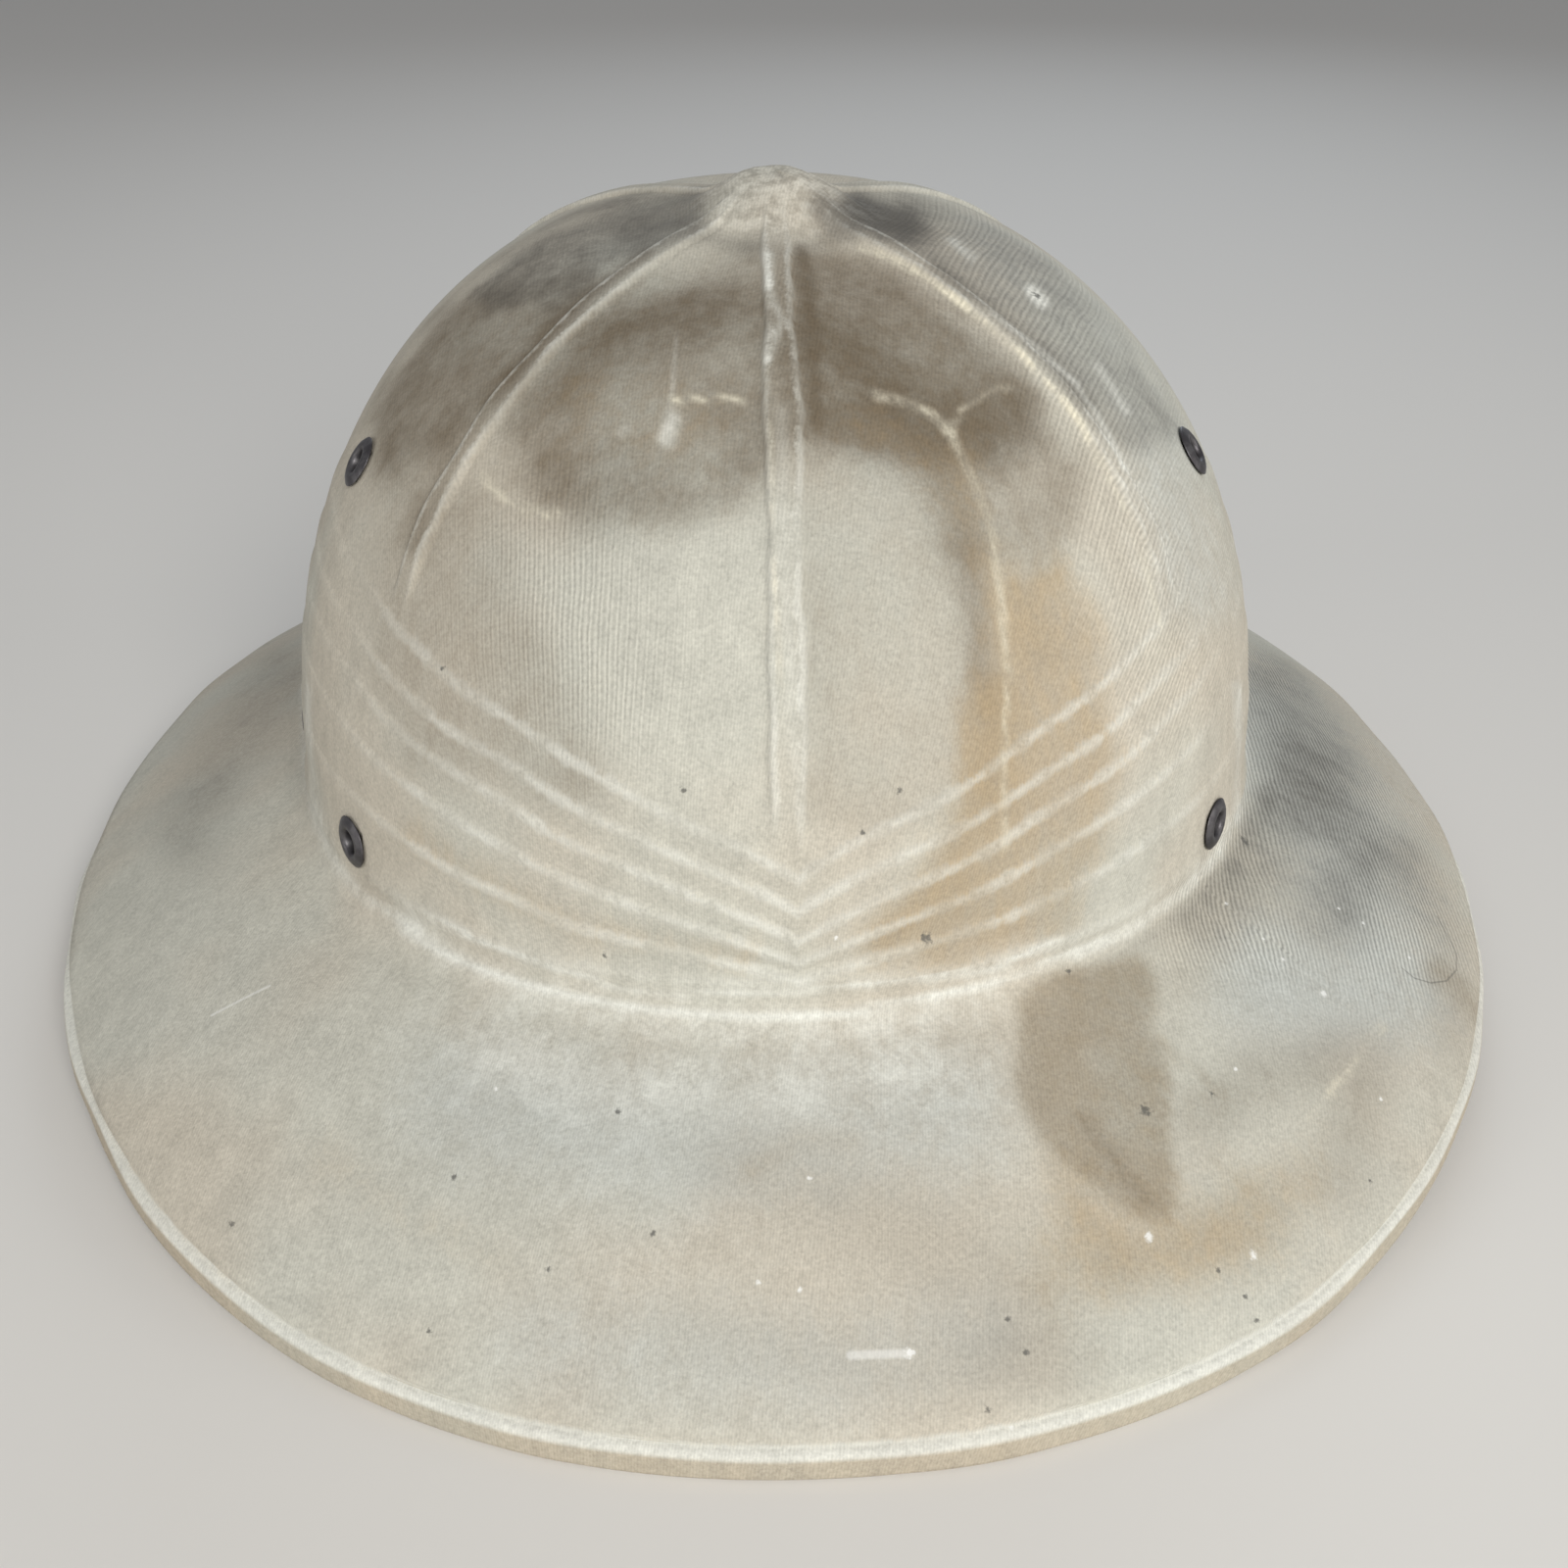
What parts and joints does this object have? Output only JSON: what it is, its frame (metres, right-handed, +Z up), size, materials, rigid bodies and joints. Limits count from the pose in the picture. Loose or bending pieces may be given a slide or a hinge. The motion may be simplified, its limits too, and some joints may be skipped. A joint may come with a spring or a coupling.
{
  "type": "pith helmet",
  "caption": "Domed sun helmet of pressed fibre under a khaki twill cover, with pressed welts, V folds, a top boss, vent eyelets and a wide sloping brim.",
  "frame": {"origin": "on the surface that the helmet rests on, under the middle of the brim's bounding box", "axes": "+Z up through the crown, the front of the helmet faces -Y, +X is to the right of someone who looks at the front"},
  "size_m": [0.2796, 0.346, 0.1455],
  "materials": {
    "twill": "worn khaki cotton twill, glued down, matt",
    "fibre": "bare pressed fibreboard, matt",
    "gunmetal": "dark oxidised eyelets, worn to grey on the dome"
  },
  "bodies": {
    "root": {"cloth_cover": "twill", "fibre_shell": "fibre", "eyelet_right_front": "gunmetal", "eyelet_left_front": "gunmetal", "eyelet_right_upper": "gunmetal", "eyelet_left_upper": "gunmetal", "eyelet_right_rear": "gunmetal", "eyelet_left_rear": "gunmetal"}
  },
  "joints": []
}
